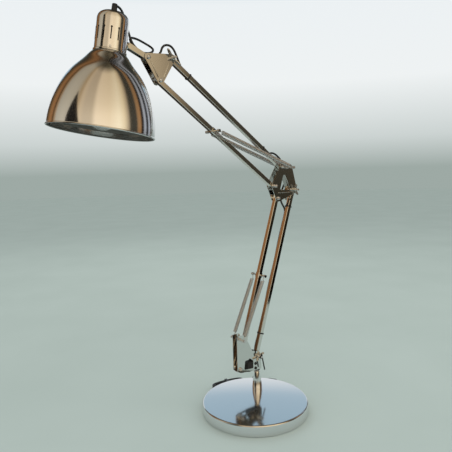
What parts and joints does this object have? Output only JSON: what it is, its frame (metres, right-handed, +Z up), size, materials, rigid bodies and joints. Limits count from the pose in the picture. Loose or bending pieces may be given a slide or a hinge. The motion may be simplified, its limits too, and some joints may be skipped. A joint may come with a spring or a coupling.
{
  "type": "desk lamp",
  "caption": "Spring-balanced desk lamp with a round weighted base, square-tube parallelogram arms and a domed metal shade.",
  "frame": {"origin": "middle of the round base's underside, on the surface that the lamp stands on", "axes": "+Z up; the arms fold in the plane y = 40 mm and reach towards -X"},
  "size_m": [0.5925, 0.2732, 0.8533],
  "materials": {
    "chrome_cover": "mirror",
    "cast_iron": "rough",
    "felt": "matt",
    "bright_steel": "bright",
    "bush_brass": "satin",
    "moulded_black": "matt",
    "chrome_sheet": "polished",
    "chrome_tube": "polished",
    "plug_grey": "satin",
    "spring_steel": "bright",
    "wing_nut_zinc": "cast",
    "collar_steel": "polished",
    "holder_black": "gloss",
    "bulb_glass": "frosted",
    "cord_black": "satin",
    "tie_black": "satin"
  },
  "bodies": {
    "base": {"base_cover": "chrome_cover", "base_pad": "felt", "base_weight": "cast_iron", "stem": "chrome_cover", "stem_screw": "bright_steel", "stem_bush": "bush_brass", "mains_lead": "cord_black", "lead_hank": "cord_black", "hank_tie": "tie_black", "mains_plug": "moulded_black"},
    "swivel": {"swivel_spindle": "bright_steel", "swivel_block": "moulded_black", "base_cheek_left": "chrome_sheet", "base_cheek_right": "chrome_sheet", "base_bolts": "bright_steel", "base_cap_nut": "bright_steel", "base_spring_studs": "bright_steel", "foot_cord": "cord_black"},
    "base_clamp": {"base_wing_nut": "wing_nut_zinc"},
    "lower_rear": {"lower_rear_tube": "chrome_tube", "lower_rear_plugs": "plug_grey", "lower_cord_ties": "tie_black", "lower_arm_cord": "cord_black"},
    "lower_front": {"lower_front_tube": "chrome_tube", "lower_front_plugs": "plug_grey", "lower_spring_clip": "chrome_sheet", "lower_spring_left": "spring_steel", "lower_spring_right": "spring_steel"},
    "elbow": {"elbow_cheek_left": "chrome_sheet", "elbow_cheek_right": "chrome_sheet", "elbow_bolts": "bright_steel", "elbow_cap_nuts": "bright_steel", "elbow_spring_pin": "bright_steel", "elbow_cord": "cord_black"},
    "elbow_clamp": {"elbow_wing_nut": "wing_nut_zinc"},
    "upper_top": {"upper_top_tube": "chrome_tube", "upper_top_plugs": "plug_grey", "upper_cord_ties": "tie_black", "upper_arm_cord": "cord_black"},
    "upper_bottom": {"upper_bottom_tube": "chrome_tube", "upper_bottom_plugs": "plug_grey", "upper_spring_clip": "chrome_sheet", "upper_spring_left": "spring_steel", "upper_spring_right": "spring_steel"},
    "head_bracket": {"head_cheek_left": "chrome_sheet", "head_cheek_right": "chrome_sheet", "head_bolts": "bright_steel", "head_cap_nuts": "bright_steel", "head_bracket_cord": "cord_black"},
    "head_clamp": {"head_wing_nut": "wing_nut_zinc"},
    "neck": {"neck_arm": "chrome_sheet"},
    "head": {"head_cord": "cord_black", "socket_cup": "chrome_cover", "shade_collar": "collar_steel", "head_screws": "bright_steel", "cord_bush": "moulded_black", "lampholder": "holder_black", "shade_ring": "collar_steel", "shade": "chrome_cover", "lamp_bulb": "bulb_glass"}
  },
  "joints": [
    {"name": "base_swivel", "type": "hinge", "parent": "base", "child": "swivel", "pos_m": [0.042, 0.04, 0.069], "axis": [0, 0, 1], "range_deg": [-90, 90]},
    {"name": "lower_arm", "type": "hinge", "parent": "swivel", "child": "lower_rear", "pos_m": [0.03968, 0.04, 0.1088], "axis": [0, -1, 0], "range_deg": [-20, 50]},
    {"name": "lower_front_arm", "type": "hinge", "parent": "swivel", "child": "lower_front", "pos_m": [-0.0155, 0.04, 0.0906], "axis": [0, -1, 0], "range_deg": [-20, 50], "deforming": ["lower_spring_left", "lower_spring_right", "foot_cord"]},
    {"name": "elbow_link", "type": "hinge", "parent": "lower_rear", "child": "elbow", "pos_m": [0.16945, 0.04, 0.49666], "axis": [0, -1, 0], "range_deg": [-50, 20]},
    {"name": "upper_arm", "type": "hinge", "parent": "elbow", "child": "upper_top", "pos_m": [0.12981, 0.04, 0.55303], "axis": [0, -1, 0], "range_deg": [-25, 50], "deforming": ["elbow_cord"]},
    {"name": "upper_bottom_arm", "type": "hinge", "parent": "elbow", "child": "upper_bottom", "pos_m": [0.10178, 0.04, 0.50816], "axis": [0, -1, 0], "range_deg": [-25, 50], "deforming": ["upper_spring_left", "upper_spring_right"]},
    {"name": "head_link", "type": "hinge", "parent": "upper_top", "child": "head_bracket", "pos_m": [-0.16923, 0.04, 0.7687], "axis": [0, -1, 0], "range_deg": [-50, 25], "deforming": ["head_bracket_cord"]},
    {"name": "head_tilt", "type": "hinge", "parent": "head_bracket", "child": "neck", "pos_m": [-0.22196, 0.04, 0.76474], "axis": [0, 1, 0], "range_deg": [-15, 50]},
    {"name": "head_turn", "type": "hinge", "parent": "neck", "child": "head", "pos_m": [-0.26116, 0.04, 0.78204], "axis": [0.989, 0, -0.1478], "range_deg": [-30, 30], "deforming": ["head_cord"]},
    {"name": "base_clamp_turn", "type": "hinge", "parent": "swivel", "child": "base_clamp", "pos_m": [0.03968, 0.04, 0.1088], "axis": [0, -1, 0], "range_deg": [-180, 180]},
    {"name": "elbow_clamp_turn", "type": "hinge", "parent": "elbow", "child": "elbow_clamp", "pos_m": [0.16945, 0.04, 0.49666], "axis": [0, -1, 0], "range_deg": [-180, 180]},
    {"name": "head_clamp_turn", "type": "hinge", "parent": "head_bracket", "child": "head_clamp", "pos_m": [-0.16923, 0.04, 0.7687], "axis": [0, -1, 0], "range_deg": [-180, 180]}
  ],
  "couplings": [
    {"joint": "lower_front_arm", "follows": "lower_arm", "ratio": 1},
    {"joint": "elbow_link", "follows": "lower_arm", "ratio": -1},
    {"joint": "upper_bottom_arm", "follows": "upper_arm", "ratio": 1},
    {"joint": "head_link", "follows": "upper_arm", "ratio": -1}
  ]
}
